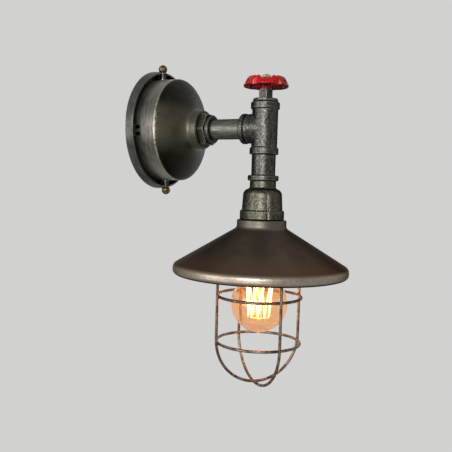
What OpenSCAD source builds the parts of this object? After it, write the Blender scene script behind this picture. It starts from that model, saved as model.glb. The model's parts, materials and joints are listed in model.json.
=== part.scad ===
// Industrial wall light: pipe-fitting arm, cone shade, wire guard and filament bulb.
// The wall is the plane y = 0 and the lamp stands out along -Y.
// The origin is the middle of the wall plate, on the line of the arm.

/* [Canopy] */
// Radius of the wall plate at the wall
plate_r = 64; // [62:0.5:72]
// Depth of the wall plate's rim from the wall
plate_depth = 8.6; // [8:0.2:12]
// Thickness of the wall plate's floor
plate_wall = 1.5; // [1:0.1:2.5]
// Width of the wall plate's rim
plate_rim = 2.8; // [2:0.1:3.5]
// Distance between the two wall screw holes
screw_pitch = 70; // [64:1:76]
// Diameter of a wall screw hole
screw_hole = 5; // [4:0.1:6]
// Diameter of the cable hole in the wall plate
cable_hole = 20; // [14:1:24]
// Turn of the tabs and studs about the arm, in degrees
plate_turn = 5; // [-15:1:15]
// Radius of the canopy cover
cover_r = 54.6; // [52:0.2:56]
// Distance from the wall to the front edge of the cover's straight side
cover_side = 28.5; // [26:0.5:32]
// Distance from the wall to the front face of the cover's neck
cover_front = 57; // [55:0.5:64]
// Radius of the cover's neck
cover_neck_r = 20.6; // [20.6:0.1:24]
// Length of the cover's straight neck
cover_neck_len = 7; // [5:0.5:9]
// Thickness of the cover's sheet
cover_wall = 1.2; // [0.8:0.1:1.6]

/* [Cover studs] */
// Distance from the wall to the stud centres
stud_z = 6.8; // [6.8:0.1:9]
// Diameter of a stud's shank
stud_d = 7; // [5:0.5:8]
// Diameter of a stud's thread
stud_thread = 4; // [3:0.5:5]
// Diameter of a ball nut
ball_d = 9.6; // [8:0.2:12]
// Distance from the cover's side to the middle of a ball nut
stud_len = 11.6; // [11:0.2:16]

/* [Arm] */
// Distance from the wall to the upright axis
reach = 128; // [122:1:170]
// Outside diameter of the pipe thread and of the arm
pipe_od = 21.3; // [21:0.1:22]
// Bore of the arm pipe
pipe_bore = 16; // [14:0.5:17]
// Thickness of the neck washer
washer_t = 1.2; // [0.8:0.2:2]
// Width across the flats of the arm nut
arm_nut_af = 32; // [28:0.5:34]
// Thickness of the arm nut
arm_nut_t = 6.8; // [5:0.2:9]
// Diameter of the arm collar
collar_d = 30; // [26:0.5:32]
// Thickness of the arm collar
collar_t = 4.2; // [3:0.2:6]
// Thickness of the nut inside the canopy
locknut_t = 5; // [4:0.5:6]

/* [Pipe fittings] */
// Half length of the tee's upright run
tee_half = 26.5; // [25:0.5:30]
// Distance from the upright axis to the tee's side mouth
tee_side = 24.6; // [23:0.2:28]
// Radius of the tee's body
tee_r = 13.4; // [13:0.1:14.2]
// Radius of the bands at the tee's upright mouths
band_r = 14.9; // [14.6:0.1:16]
// Height of the bands at the tee's upright mouths
band_h = 7; // [5:0.1:8]
// Radius of the bead at the tee's side mouth
bead_r = 15.8; // [15:0.1:17]
// Width of the bead at the tee's side mouth
bead_w = 5.6; // [4:0.2:7]
// Radius of the tee's neck behind that bead
tee_neck_r = 15.3; // [14.4:0.1:15.6]
// Width of the groove between the neck and the bead
bead_groove_w = 1.6; // [0.8:0.1:1.7]
// Depth of the groove between the neck and the bead
bead_groove_depth = 1.6; // [0.4:0.1:1.8]
// Depth that a pipe thread goes into its mouth
thread_depth = 12; // [10:0.5:13]
// Bore through the fittings
fitting_bore = 16; // [14:0.5:17]
// Height of the top plug's head above the tee
plug_h = 3.8; // [3:0.2:6]
// Radius of the top plug's head
plug_r = 13.2; // [12:0.1:14]
// Length of the extension socket below the tee
extension_len = 27; // [24:0.5:34]
// Radius of the extension socket's body
extension_r = 12.4; // [12:0.1:14]
// Radius of the extension socket's band
extension_band_r = 16; // [14.5:0.1:17]
// Height of the extension socket's band
extension_band_h = 5.8; // [4:0.2:8]
// Radius of the reducer's collar
reducer_collar_r = 13.6; // [13:0.1:15]
// Height of the reducer's collar
reducer_collar_h = 7.6; // [6:0.2:9]
// Height of the reducer's sloping shoulder
reducer_shoulder_h = 6.6; // [5:0.2:8]
// Height of the reducer's bell
reducer_bell_h = 16; // [14:0.5:20]
// Radius at the top of the reducer's bell
reducer_bell_r = 20.1; // [19.5:0.1:21]
// Radius of the reducer's lower band
reducer_band_r = 22.9; // [22:0.1:24]
// Height of the reducer's lower band
reducer_band_h = 9.6; // [8:0.2:12]
// Bore of the reducer's wide mouth
reducer_bore = 33.4; // [30:0.2:35]
// Width of a casting rib
rib_w = 2.4; // [1.5:0.1:4]

/* [Handwheel] */
// Radius of the handwheel at its lower edge
wheel_r = 23.6; // [21:0.1:28]
// Height of the handwheel's rim
wheel_h = 9.8; // [8:0.2:12]
// Width of the handwheel's rim
wheel_rim = 5.4; // [4.5:0.1:6.5]
// Number of petals round the handwheel
wheel_petals = 6; // [5:1:8]
// Radius of the handwheel's hub
hub_r = 5.8; // [5:0.1:7]
// Diameter of the stem
stem_d = 6; // [5:0.5:7]
// Width across the flats of the gland nut
gland_af = 13; // [12:0.5:16]
// Height of the gland nut
gland_h = 9; // [7:0.5:12]
// Width across the flats of the wheel nut
wheel_nut_af = 8.4; // [8:0.2:10]
// Height of the wheel nut
wheel_nut_h = 3.4; // [3:0.2:5]

/* [Shade] */
// Largest radius of the shade
shade_r = 90.6; // [84:0.2:110]
// Height of the shade
shade_h = 57; // [54:0.5:70]
// Radius of the shade's neck
shade_neck_r = 25.6; // [24.5:0.1:27]
// Slope of the shade's cone at its neck, from the level, in degrees
shade_slope = 31; // [28:0.5:33]
// Height of the shade below its cone: turned shoulder, straight skirt and lip
shade_skirt = 13.15; // [10:0.05:15]
// Radius of the turned shoulder above the shade's lip
shade_turn_r = 6; // [3:0.2:7]
// Thickness of the shade's sheet
shade_wall = 1.2; // [0.8:0.1:1.6]

/* [Lampholder] */
// Diameter of the threaded nipple
nipple_d = 10; // [9.5:0.1:11]
// Bore of the nipple
nipple_bore = 7; // [6:0.2:8]
// Outside radius of the lampholder
holder_r = 20; // [19:0.1:21]
// Height of the lampholder's cap
holder_cap_h = 16; // [15:0.5:18]
// Height of the lampholder's body
holder_body_h = 26; // [24:0.5:28]
// Wall of the lampholder's body
holder_wall = 3.4; // [2.5:0.1:4]
// Outside radius of the lampholder's ring
holder_ring_r = 26; // [24:0.5:30]
// Height of the lampholder's ring
holder_ring_h = 5; // [4:0.5:7]

/* [Guard] */
// Diameter of the guard wire
wire_d = 3; // [2.4:0.1:3.6]
// Radius of the upright guard wires from the lamp axis
guard_r = 46.5; // [44:0.5:52]
// Height of the upper guard ring
ring_high_z = -172.7; // [-180:0.5:-160]
// Height of the lower guard ring
ring_low_z = -220.5; // [-226:0.5:-205]
// Height at which the guard's side hoop starts to curve
guard_curve_z = -216; // [-218:0.5:-200]
// Turn of the front guard hoop from the wall's normal, in degrees
guard_turn = 39; // [0:1:90]
// Angle between the two guard hoops, in degrees
guard_cross = 93; // [80:1:100]
// Bend radius where a guard wire turns down
guard_bend = 8; // [6:0.5:10]

/* [Bulb] */
// Radius of the bulb's globe
globe_r = 29.4; // [27:0.2:30]
// Overall length of the bulb
bulb_len = 107; // [105:0.5:109]
// Thickness of the bulb's glass
glass_t = 0.8; // [0.6:0.1:1.2]
// Radius of the bulb's neck
bulb_neck_r = 14; // [13.6:0.1:14.6]
// Crest radius of the bulb cap's thread
cap_r = 13.2; // [13:0.05:13.3]
// Radius of the filament at its upper hooks
filament_r = 13.6; // [11:0.2:15]
// Height of the filament between its hooks
filament_h = 33; // [28:0.5:36]
// Diameter of the filament wire
filament_d = 0.6; // [0.4:0.05:0.8]
// Number of folds in the filament
filament_folds = 9; // [6:1:12]

/* [Wiring] */
// Diameter of an insulated wire
lead_d = 2.2; // [1.8:0.1:2.4]
// Width of the terminal block
block_w = 26; // [24:1:32]
// Height of the terminal block up the wall
block_h = 16; // [14:1:18]
// Depth of the terminal block from the wall plate
block_t = 13; // [11:0.5:15]

/* [Hidden] */
$fn = 96;

// Clearance of a screwed or slipped joint, on the radius
fit = 0.05;
// Running clearance of the stem, on the radius
run_fit = 0.08;
// Clearance between a turning face and a fixed one
turn_gap = 0.3;
// Overcut that makes a hole pass through its face
cut = 0.5;
// Small edge break on cast and turned pieces
edge = 0.6;

pipe_r = pipe_od / 2;
mouth_r = pipe_r + fit;
tee_top = tee_half;
tee_bottom = -tee_half;
plug_top = tee_top + plug_h;
gland_top = plug_top + gland_h;
wheel_bottom = gland_top + turn_gap;
wheel_dish = 2.4;
wheel_rim_z = wheel_bottom + wheel_dish;
wheel_top = wheel_rim_z + wheel_h;
extension_bottom = tee_bottom - extension_len;
collar_bottom = extension_bottom - reducer_collar_h;
bell_top = collar_bottom - reducer_shoulder_h;
band_top = bell_top - reducer_bell_h;
reducer_bottom = band_top - reducer_band_h;
shade_top = reducer_bottom;
shade_bottom = shade_top - shade_h;
holder_top = shade_top - shade_wall;
holder_join = holder_top - holder_cap_h;
holder_bottom = holder_join - holder_body_h;
guard_sheet = 1.4;
guard_drop = 10;
guard_top = holder_join - guard_drop;
guard_low = guard_top - guard_sheet;
cap_rise = 4.6;
bulb_top = holder_join + cap_rise;
bulb_bottom = bulb_top - bulb_len;
pip_h = 2.8;
globe_z = bulb_bottom + pip_h + globe_r;
plug_depth = 10;
boss_h = 4;

// Points of an arc about (cx, cy), from angle a to angle b
function arc(cx, cy, r, a, b, steps = 10) =
    [for (i = [0 : steps]) let (t = a + (b - a) * i / steps) [cx + r * cos(t), cy + r * sin(t)]];

// Stands its children on the wall: their z becomes the distance from the wall
module from_wall() {
    rotate([90, 0, 0])
        children();
}

// Sets its children on the upright axis of the lamp
module on_upright() {
    translate([0, -reach, 0])
        children();
}

// Aims its children outward at an angle from the wall's normal, towards -X
module facing(angle) {
    rotate([0, 0, -angle])
        children();
}

// A tube or, with an inner radius of 0, a rod between two heights
module tube(outer, inner, low, high) {
    translate([0, 0, low])
        difference() {
            cylinder(r = outer, h = high - low);
            if (inner > 0)
                translate([0, 0, -cut])
                    cylinder(r = inner, h = high - low + 2 * cut);
        }
}

// A cast band with both edges broken
module band(r, low, high, e = edge) {
    rotate_extrude()
        polygon([[0, low], [r - e, low], [r, low + e], [r, high - e], [r - e, high], [0, high]]);
}

// A hexagon nut with turned corners, flats across Y
module hex_nut(af, low, high, bore_r) {
    corner = af / sqrt(3);
    bevel = corner - af / 2;
    difference() {
        intersection() {
            translate([0, 0, low])
                cylinder(r = corner, h = high - low, $fn = 6);
            band(corner, low, high, bevel * 0.6);
        }
        translate([0, 0, low - cut])
            cylinder(r = bore_r, h = high - low + 2 * cut);
    }
}

// An insulated lead: one tube swept along a list of points
lead_sides = 8;

function unit(v) = v / norm(v);
function heading(points, i) =
    unit(points[min(i + 1, len(points) - 1)] - points[max(i - 1, 0)]);
function lead_ring(points, i, d) =
    let (t = heading(points, i), side = [1, 0, 0] - t * t.x, u = unit(side), v = cross(t, u))
    [for (k = [0 : lead_sides - 1])
        let (a = 360 * k / lead_sides) points[i] + d / 2 * (u * cos(a) + v * sin(a))];

module lead(points, d) {
    last = len(points) - 1;
    rings = [for (i = [0 : last]) each lead_ring(points, i, d)];
    sides = [for (i = [0 : last - 1]) for (k = [0 : lead_sides - 1])
        let (a = i * lead_sides + k, b = i * lead_sides + (k + 1) % lead_sides)
        each [[a, b, b + lead_sides], [a, b + lead_sides, a + lead_sides]]];
    start_cap = [for (k = [1 : lead_sides - 2]) [0, k + 1, k]];
    end_cap = [for (k = [1 : lead_sides - 2]) [last * lead_sides, last * lead_sides + k,
        last * lead_sides + k + 1]];
    polyhedron(points = rings, faces = [for (f = concat(sides, start_cap, end_cap)) [f.x, f.z, f.y]]);
}

// A fine wire through a list of points, with a slightly larger ball at each corner
corner_ball = 1.2;

module wire(points, d) {
    for (i = [0 : len(points) - 2]) {
        a = points[i];
        v = points[i + 1] - a;
        translate(a)
            rotate([0, acos(v.z / norm(v)), atan2(v.y, v.x)])
                cylinder(d = d, h = norm(v), $fn = 20);
    }
    for (i = [1 : len(points) - 2])
        translate(points[i])
            sphere(d = d * corner_ball, $fn = 20);
}

// The wall plate: a dish with a stout rim, two locating tabs and two stud slots
tab_w = 11;
tab_t = 1.6;
tab_notch_r = 2;
slot_w = ball_d + 0.6;
rim_inner = plate_r - plate_rim;
tab_inner = cover_r + 3.2;
rim_taper = 1;
boss_r = 4.5;
boss_x = 24;
boss_y = 22;
block_y = -27;

module plate_profile() {
    lip = plate_r - rim_taper;
    rotate_extrude()
        polygon(concat(
            [[0, 0], [plate_r, 0]],
            arc(lip - 0.9, plate_depth - 0.9, 0.9, 0, 90, 6),
            [[rim_inner, plate_depth], [rim_inner, plate_wall], [0, plate_wall]]));
}

module back_plate() {
    color([0.42, 0.41, 0.38])
        from_wall()
            difference() {
                union() {
                    plate_profile();
                    for (side = [0, 180])
                        rotate([0, 0, side + plate_turn])
                            translate([tab_inner, -tab_w / 2, plate_depth - tab_t])
                                cube([rim_inner - tab_inner + 1, tab_w, tab_t]);
                    translate([boss_x, boss_y, 0])
                        cylinder(r = boss_r, h = plate_wall + boss_h);
                    translate([0, block_y, 0])
                        cylinder(r = boss_r, h = plate_wall + 1);
                }
                for (side = [0, 180])
                    rotate([0, 0, side + plate_turn])
                        translate([tab_inner, 0, 0])
                            translate([0, 0, plate_depth - tab_t - cut])
                                cylinder(r = tab_notch_r, h = tab_t + 2 * cut);
                for (side = [90, 270])
                    rotate([0, 0, side + plate_turn]) {
                        translate([rim_inner - cut, 0, stud_z])
                            rotate([0, 90, 0])
                                cylinder(d = slot_w, h = plate_rim + 2 * cut);
                        translate([rim_inner - cut, -slot_w / 2, stud_z])
                            cube([plate_rim + 2 * cut, slot_w, plate_depth]);
                    }
                for (x = [-screw_pitch / 2, screw_pitch / 2])
                    translate([x, 0, -cut])
                        cylinder(d = screw_hole, h = plate_wall + 2 * cut);
                translate([0, 0, -cut])
                    cylinder(d = cable_hole, h = plate_wall + 2 * cut);
                translate([boss_x, boss_y, 1])
                    cylinder(r = earth_screw_r + fit, h = plate_wall + boss_h);
            }
}

// The terminal block on the wall plate, with a way for each wire
terminal_pitch = 8;
terminal_screw_r = 2.2;
terminal_screw_y = block_y + 2;
block_low = plate_wall + 1;
way_z = block_low + 6;
screw_low = way_z + lead_d / 2 + fit;
screw_high = block_low + block_t - 1;
wire_end = block_y - 1;

module terminal_block() {
    color("ivory")
        from_wall()
            difference() {
                translate([-block_w / 2, block_y - block_h / 2, block_low])
                    cube([block_w, block_h, block_t]);
                for (i = [-1 : 1]) {
                    translate([i * terminal_pitch, wire_end - 1, way_z])
                        rotate([-90, 0, 0])
                            cylinder(d = lead_d + 2 * fit, h = block_h);
                    translate([i * terminal_pitch, terminal_screw_y, way_z])
                        cylinder(r = terminal_screw_r + fit, h = block_t);
                }
                for (i = [-0.5, 0.5])
                    translate([i * terminal_pitch - 0.6, block_y - block_h, block_low + 9])
                        cube([1.2, 2 * block_h, block_t]);
            }
}

// The three clamping screws in the terminal block
module terminal_screws() {
    color("silver")
        from_wall()
            for (i = [-1 : 1])
                translate([i * terminal_pitch, terminal_screw_y, 0])
                    difference() {
                        tube(terminal_screw_r, 0, screw_low, screw_high);
                        translate([-3, -0.4, screw_high - 1])
                            cube([6, 0.8, 2]);
                    }
}

// The earth screw in the plate's boss, over the ring of the earth wire
eyelet_t = 0.8;
eyelet_r = 4.2;
earth_screw_r = 2;
earth_head_r = 3.8;

module earth_screw() {
    seat = plate_wall + boss_h + eyelet_t;
    color("gold")
        from_wall()
            translate([boss_x, boss_y, 0])
                difference() {
                    union() {
                        translate([0, 0, 1.4])
                            cylinder(r = earth_screw_r, h = seat - 1.4);
                        band_head(earth_head_r, seat, seat + 2.4);
                    }
                    translate([-5, -0.5, seat + 1.4])
                        cube([10, 1, 2]);
                }
}

// A pan head with a rounded top edge
module band_head(r, low, high) {
    rotate_extrude()
        polygon(concat([[0, low], [r, low]], arc(r - 1, high - 1, 1, 0, 90, 6), [[0, high]]));
}

// The canopy cover: straight side, bell-shaped front and a short neck
bell_end = cover_front - cover_neck_len;
bell_steps = 28;
notch_w = 10.5;
notch_z = plate_depth + 3.4;
tongue_w = 3.6;

function bell_r(t) = cover_r + (cover_neck_r - cover_r) * (1 - cos(180 * t)) / 2;
function bell_z(t) = cover_side + (bell_end - cover_side) * t;
function bell_slope(t) = (cover_neck_r - cover_r) * PI * sin(180 * t) / 2;
function bell_point(t) = [bell_r(t), bell_z(t)];
function bell_inner(t) =
    let (dr = bell_slope(t), dz = bell_end - cover_side, n = norm([dr, dz]))
    [bell_r(t) - cover_wall * dz / n, bell_z(t) + cover_wall * dr / n];

module canopy_cover() {
    inner_neck = cover_neck_r - cover_wall;
    slit_w = (notch_w - tongue_w) / 2;
    slit_y = (notch_w + tongue_w) / 4;
    color([0.25, 0.23, 0.2])
        from_wall()
            difference() {
                rotate_extrude()
                    polygon(concat(
                        [[cover_r - cover_wall, plate_wall], [cover_r, plate_wall]],
                        [for (i = [0 : bell_steps]) bell_point(i / bell_steps)],
                        arc(cover_neck_r - edge, cover_front - edge, edge, 0, 90, 4),
                        [[pipe_r + 2 * fit, cover_front], [pipe_r + 2 * fit, cover_front - cover_wall]],
                        [[inner_neck, cover_front - cover_wall]],
                        [for (i = [bell_steps : -1 : 0]) bell_inner(i / bell_steps)]));
                for (side = [0, 180])
                    rotate([0, 0, side + plate_turn])
                        for (end = [-1, 1])
                            translate([cover_r - 4, end * slit_y - slit_w / 2, plate_wall - cut])
                                cube([8, slit_w, notch_z - plate_wall + cut]);
                for (side = [90, 270])
                    rotate([0, 0, side + plate_turn])
                        translate([cover_r - 4, 0, stud_z])
                            rotate([0, 90, 0])
                                cylinder(d = stud_thread + 2 * fit, h = 8);
            }
}

// Places its children at the top and bottom studs, with z along the stud from the arm's line
module at_studs() {
    from_wall()
        for (side = [90, 270])
            rotate([0, 0, side + plate_turn])
                translate([0, 0, stud_z])
                    rotate([0, 90, 0])
                        children();
}

// The two studs that stand out of the cover through the plate's slots
ball_c = cover_r + stud_len;
ball_seat = ball_c - ball_d / 2 * 0.84;
stud_foot = 1;
stud_foot_r = min(stud_d / 2 + 1.2, stud_z - plate_wall - 0.2);

module canopy_studs() {
    low = cover_r + 0.1;
    color("silver")
        at_studs() {
            tube(stud_thread / 2, 0, ear_r - ear_t - 1.5, ball_c + 1.5);
            tube(stud_d / 2, 0, low, ball_seat);
            tube(stud_foot_r, 0, low, low + stud_foot);
        }
}

// The two brackets on the wall plate that the studs screw into
ear_t = 1.5;
ear_w = 14;
ear_h = 12.5;
ear_foot = 13;
ear_r = sqrt(pow(cover_r - cover_wall - fit, 2) - ear_w * ear_w / 4);

module stud_brackets() {
    color([0.6, 0.6, 0.58])
        from_wall()
            for (side = [90, 270])
                rotate([0, 0, side + plate_turn])
                    difference() {
                        union() {
                            translate([ear_r - ear_t, -ear_w / 2, plate_wall])
                                cube([ear_t, ear_w, ear_h]);
                            translate([ear_r - ear_foot, -ear_w / 2, plate_wall])
                                cube([ear_foot, ear_w, ear_t]);
                        }
                        translate([ear_r - 2 * ear_t, 0, stud_z])
                            rotate([0, 90, 0])
                                cylinder(r = stud_thread / 2 + fit, h = 3 * ear_t);
                    }
}

// The two ball nuts that hold the cover in the plate
module ball_nuts() {
    color([0.6, 0.45, 0.2])
        at_studs()
            difference() {
                translate([0, 0, ball_c])
                    sphere(d = ball_d);
                translate([0, 0, ball_seat - ball_d])
                    cylinder(d = 2 * ball_d, h = ball_d);
                translate([0, 0, ball_seat - cut])
                    cylinder(r = stud_thread / 2 + fit, h = ball_c + 2 - ball_seat + cut);
            }
}

// The pieces that clamp the arm in the cover's neck
washer_z = cover_front + washer_t;
nut_z = washer_z + arm_nut_t;
collar_z = nut_z + collar_t;
pipe_tail = 3;
arm_start = cover_front - cover_wall - locknut_t - pipe_tail;
arm_end = reach - tee_side + thread_depth;

module neck_washer() {
    color([0.1, 0.1, 0.1])
        from_wall()
            tube(cover_neck_r - 0.6, mouth_r, cover_front, washer_z);
}

module arm_nut() {
    color([0.33, 0.32, 0.3])
        from_wall()
            hex_nut(arm_nut_af, washer_z, nut_z, mouth_r);
}

module arm_collar() {
    color([0.45, 0.44, 0.42])
        from_wall()
            difference() {
                band(collar_d / 2, nut_z, collar_z, 0.8);
                tube(mouth_r, 0, nut_z - cut, collar_z + cut);
            }
}

module inner_locknut() {
    high = cover_front - cover_wall;
    color([0.5, 0.49, 0.46])
        from_wall()
            hex_nut(arm_nut_af, high - locknut_t, high, mouth_r);
}

module arm_pipe() {
    color([0.55, 0.54, 0.5])
        from_wall()
            tube(pipe_r, pipe_bore / 2, arm_start, arm_end);
}

// The tee's side neck: it swells out of the run and ends in a groove at the bead
module tee_neck() {
    groove_start = tee_side - bead_w - bead_groove_w;
    groove_r = tee_neck_r - bead_groove_depth;
    rotate_extrude()
        polygon([[0, 0], [tee_r, 0], [tee_neck_r, tee_r], [tee_neck_r, groove_start],
            [groove_r, groove_start], [groove_r, tee_side - 1], [0, tee_side - 1]]);
}

// The tee: an upright run with banded mouths and a side mouth for the arm
module tee() {
    color([0.5, 0.49, 0.46])
        on_upright()
            difference() {
                union() {
                    tube(tee_r, 0, tee_bottom + 1, tee_top - 1);
                    band(band_r, tee_top - band_h, tee_top);
                    band(band_r, tee_bottom, tee_bottom + band_h);
                    rotate([-90, 0, 0]) {
                        tee_neck();
                        band(bead_r, tee_side - bead_w, tee_side, 1.2);
                    }
                }
                tube(fitting_bore / 2, 0, tee_bottom - cut, tee_top + cut);
                tube(mouth_r, 0, tee_top - thread_depth - 1, tee_top + cut);
                tube(mouth_r, 0, tee_bottom - cut, tee_bottom + thread_depth + 1);
                rotate([-90, 0, 0]) {
                    tube(fitting_bore / 2, 0, 0, tee_side + cut);
                    tube(mouth_r, 0, tee_side - thread_depth - 1, tee_side + cut);
                }
            }
}

// The plug in the tee's top mouth, bored for the stem
module top_plug() {
    step = plug_top - plug_h / 2;
    color([0.5, 0.49, 0.46])
        on_upright()
            difference() {
                union() {
                    tube(pipe_r, 0, tee_top - plug_depth, tee_top + 0.2);
                    band(plug_r, tee_top, step);
                    band(plug_r - 0.4, step, plug_top);
                }
                tube(stem_d / 2 + run_fit, 0, tee_top - plug_depth - cut, plug_top + cut);
            }
}

module gland_nut() {
    color("silver")
        on_upright()
            rotate([0, 0, 30])
                hex_nut(gland_af, plug_top, gland_top, stem_d / 2 + run_fit);
}

// The stem that the handwheel turns, kept in the plug by its clip
clip_t = 1.2;
clip_bite = 0.6;
clip_top = tee_top - plug_depth - turn_gap;
hub_sink = 0.4;
hub_top = wheel_top - hub_sink;
stem_top = hub_top + wheel_nut_h;
stem_proud = 0.8;

module stem() {
    color("silver")
        on_upright()
            difference() {
                band(stem_d / 2, clip_top - clip_t - 2, stem_top, 0.8);
                tube(stem_d, stem_d / 2 - clip_bite, clip_top - clip_t, clip_top);
            }
}

module stem_clip() {
    color([0.3, 0.3, 0.32])
        on_upright()
            difference() {
                tube(stem_d / 2 + 1.8, stem_d / 2 - clip_bite, clip_top - clip_t, clip_top);
                translate([-stem_d, -0.8, clip_top - clip_t - cut])
                    cube([stem_d, 1.6, clip_t + 2 * cut]);
            }
}

// The handwheel: a dished wheel with spokes and petals, by turns with a finger hole and a hollow on top
petal_step = 360 / wheel_petals;
petal_turn = 66.5;
flute_r = wheel_r * 0.22;
finger_r = 2.3;
finger_z = wheel_rim_z + wheel_h * 0.42;
crease_r = 3.4;
crease_depth = 1;
hollow_r = 7.4;
hollow_depth = 4.6;
spoke_t = 3.4;

module wheel_rim_profile() {
    inner = wheel_r - wheel_rim;
    top_r = wheel_r - 4.6;
    polygon(concat(
        [[inner + 0.6, wheel_rim_z], [wheel_r - 1, wheel_rim_z]],
        arc(wheel_r - 1, wheel_rim_z + 1, 1, -90, 20, 6),
        arc(top_r - 1.6, wheel_top - 3, 3, 24, 90, 8),
        [[inner - 3, wheel_top - 0.8], [inner - 4.2, wheel_top - 2.6], [inner - 1, wheel_rim_z + 3]]));
}

// A groove across the rim's top at an angle, with a round floor
module rim_groove(angle, r, depth) {
    facing(angle)
        translate([0, -wheel_r + wheel_rim + 6, wheel_top + r - depth])
            rotate([90, 0, 0])
                cylinder(r = r, h = wheel_rim + 8);
}

module handwheel() {
    color([0.72, 0.06, 0.06])
        on_upright()
            difference() {
                union() {
                    difference() {
                        rotate_extrude()
                            wheel_rim_profile();
                        for (i = [0 : wheel_petals - 1]) {
                            facing(petal_turn + (i + 0.5) * petal_step)
                                translate([0, -wheel_r - flute_r * 0.45, wheel_rim_z - cut])
                                    cylinder(r = flute_r, h = wheel_h + 2 * cut);
                            rim_groove(petal_turn + (i + 0.5) * petal_step, crease_r, crease_depth);
                        }
                        for (i = [0 : 2 : wheel_petals - 1])
                            rim_groove(petal_turn + i * petal_step, hollow_r, hollow_depth);
                        for (i = [1 : 2 : wheel_petals - 1])
                            facing(petal_turn + i * petal_step)
                                translate([0, -wheel_r + wheel_rim + 4, finger_z])
                                    rotate([90, 0, 0])
                                        cylinder(r = finger_r, h = wheel_r);
                    }
                    for (i = [0 : wheel_petals - 1])
                        facing(petal_turn + i * petal_step)
                            translate([-2.2, -wheel_r + wheel_rim - 0.4, wheel_bottom + 3.2])
                                cube([4.4, wheel_r - wheel_rim - hub_r + 1.4, spoke_t]);
                    band(hub_r, wheel_bottom, hub_top, 0.8);
                }
                tube(stem_d / 2 + fit, 0, wheel_bottom - cut, wheel_top + cut);
            }
}

module wheel_nut() {
    color([0.75, 0.73, 0.68])
        on_upright()
            rotate([0, 0, 12])
                hex_nut(wheel_nut_af, hub_top, stem_top - stem_proud, stem_d / 2 + fit);
}

// The extension socket: male thread above, banded mouth below
module extension_socket() {
    color([0.48, 0.47, 0.44])
        on_upright()
            difference() {
                union() {
                    tube(pipe_r, 0, tee_bottom - 0.2, tee_bottom + thread_depth);
                    tube(extension_r, 0, extension_bottom + 1, tee_bottom);
                    band(extension_band_r, extension_bottom, extension_bottom + extension_band_h, 0.8);
                }
                tube(fitting_bore / 2, 0, extension_bottom - cut, tee_bottom + thread_depth + cut);
                tube(mouth_r, 0, extension_bottom - cut, extension_bottom + thread_depth + 1);
            }
}

// The reducer: male thread above, sloping shoulder, bell, lower band and two casting ribs
rib_turn = 47;
rib_out = 0.9;

module reducer() {
    bell_low_r = reducer_bell_r + 1;
    shoulder_r = 6;
    shoulder_turn = 62;
    rib_h = collar_bottom - reducer_bottom - 3.2;
    color([0.45, 0.44, 0.4])
        on_upright()
            difference() {
                union() {
                    tube(pipe_r, 0, extension_bottom - 0.2, extension_bottom + thread_depth);
                    rotate_extrude()
                        polygon(concat(
                            [[0, extension_bottom], [reducer_collar_r, extension_bottom]],
                            [[reducer_collar_r, collar_bottom + 0.8]],
                            [[reducer_collar_r + 0.8, collar_bottom]],
                            arc(reducer_bell_r - shoulder_r, bell_top, shoulder_r, shoulder_turn, 0, 6),
                            [[bell_low_r, band_top], [0, band_top]]));
                    band(reducer_band_r, reducer_bottom, band_top, 0.8);
                    intersection() {
                        for (side = [0, 180])
                            facing(rib_turn + side)
                                translate([-rib_w / 2, -reducer_band_r - rib_out, reducer_bottom + 0.8])
                                    cube([rib_w, reducer_band_r - 10, rib_h]);
                        rotate_extrude()
                            polygon([[0, reducer_bottom], [reducer_band_r + rib_out, reducer_bottom],
                                [reducer_band_r + rib_out, band_top - 1],
                                [reducer_bell_r + rib_out + 0.4, bell_top],
                                [reducer_bell_r - 1, bell_top + 4], [0, bell_top + 4]]);
                    }
                }
                tube(fitting_bore / 2, 0, reducer_bottom - cut, extension_bottom + thread_depth + cut);
                tube(reducer_bore / 2, 0, reducer_bottom - cut, bell_top - 4);
            }
}

// The plug in the reducer's wide mouth, which carries the nipple
reducer_plug_h = 9;
nipple_r = nipple_d / 2;
nipple_nut_h = 4;
nipple_tail = 2;
nipple_reach = 3.5;
nipple_high = reducer_bottom + reducer_plug_h + nipple_nut_h + nipple_tail;
nipple_low = holder_top - nipple_reach;

module reducer_plug() {
    color([0.4, 0.39, 0.36])
        on_upright()
            tube(reducer_bore / 2 - fit, nipple_r + fit, reducer_bottom, reducer_bottom + reducer_plug_h);
}

module nipple() {
    color("gold")
        on_upright()
            tube(nipple_r, nipple_bore / 2, nipple_low, nipple_high);
}

module nipple_nut() {
    low = reducer_bottom + reducer_plug_h;
    color("gold")
        on_upright()
            hex_nut(nipple_d + 5, low, low + nipple_nut_h, nipple_r + fit);
}

// The spun shade: flat top, straight neck, cone, turned shoulder and lip
neck_h = 8.4;
neck_turn = 5;
lip_turn = min(4.2, shade_skirt - shade_turn_r / cos(shade_slope) - 0.4);

// The cone is straight where its slope leads right to the skirt; otherwise it is bowed to meet it
cone_run = shade_r - shade_turn_r - shade_neck_r;
cone_bow = ((shade_h - neck_h - shade_skirt) / cone_run - tan(shade_slope)) / cone_run;
cone_steps = abs(cone_bow) * cone_run * cone_run < 0.05 ? 0 : 12;

function cone_z(run) = shade_top - neck_h - run * (tan(shade_slope) + cone_bow * run);
function cone_angle(run) = atan(tan(shade_slope) + 2 * cone_bow * run);
function cone_point(run, t) =
    [shade_neck_r + run - t * sin(cone_angle(run)), cone_z(run) - t * cos(cone_angle(run))];

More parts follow.
